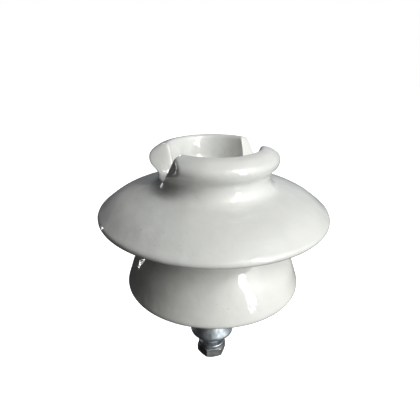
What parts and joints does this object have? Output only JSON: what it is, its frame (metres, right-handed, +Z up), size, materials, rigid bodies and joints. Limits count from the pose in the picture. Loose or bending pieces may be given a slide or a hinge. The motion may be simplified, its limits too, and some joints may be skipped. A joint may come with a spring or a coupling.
{
  "type": "porcelain pin insulator",
  "caption": "Glazed porcelain pin insulator with a grooved head, a wide upper shed and a bell-shaped lower shed, screwed on a galvanised steel spindle with nut and spring washer.",
  "frame": {"origin": "on the insulator's axis, in the plane of the spindle collar's underside, which seats on the cross-arm", "axes": "+Z up the axis through the head; X along the conductor groove"},
  "size_m": [0.225, 0.225, 0.2505],
  "materials": {
    "upper_shell": "glossy light grey glaze",
    "lower_shell": "glossy light grey glaze",
    "cement": "rough cement",
    "thimble": "dull zinc",
    "cork": "cork",
    "spindle": "hot-dip galvanised",
    "lead": "dull cast lead",
    "spring_washer": "galvanised",
    "hex_nut": "galvanised"
  },
  "bodies": {
    "spindle": {"spindle": "spindle", "lead_thread": "lead"},
    "cushion": {"cushion_disc": "cork"},
    "insulator": {"upper_shell": "upper_shell", "lower_shell": "lower_shell", "shell_cement": "cement", "thimble": "thimble", "thimble_cement": "cement"},
    "washer": {"spring_washer": "spring_washer"},
    "nut": {"hex_nut": "hex_nut"}
  },
  "joints": [
    {"name": "insulator_lift", "type": "slide", "parent": "spindle", "child": "cushion", "axis": [0, 0, 1], "range_m": [0, 0.04446]},
    {"name": "insulator_spin", "type": "hinge", "parent": "cushion", "child": "insulator", "pos_m": [0, 0, 0], "axis": [0, 0, 1], "range_deg": [0, 2520]},
    {"name": "washer_drop", "type": "slide", "parent": "spindle", "child": "washer", "axis": [0, 0, -1], "range_m": [-0.01271, 0.0178]},
    {"name": "nut_spin", "type": "hinge", "parent": "washer", "child": "nut", "pos_m": [0, 0, 0], "axis": [0, 0, -1], "range_deg": [-1800, 2520]}
  ],
  "couplings": [
    {"joint": "insulator_lift", "follows": "insulator_spin", "m_per_rad": 0.0010106},
    {"joint": "washer_drop", "follows": "nut_spin", "m_per_rad": 0.00040425}
  ]
}
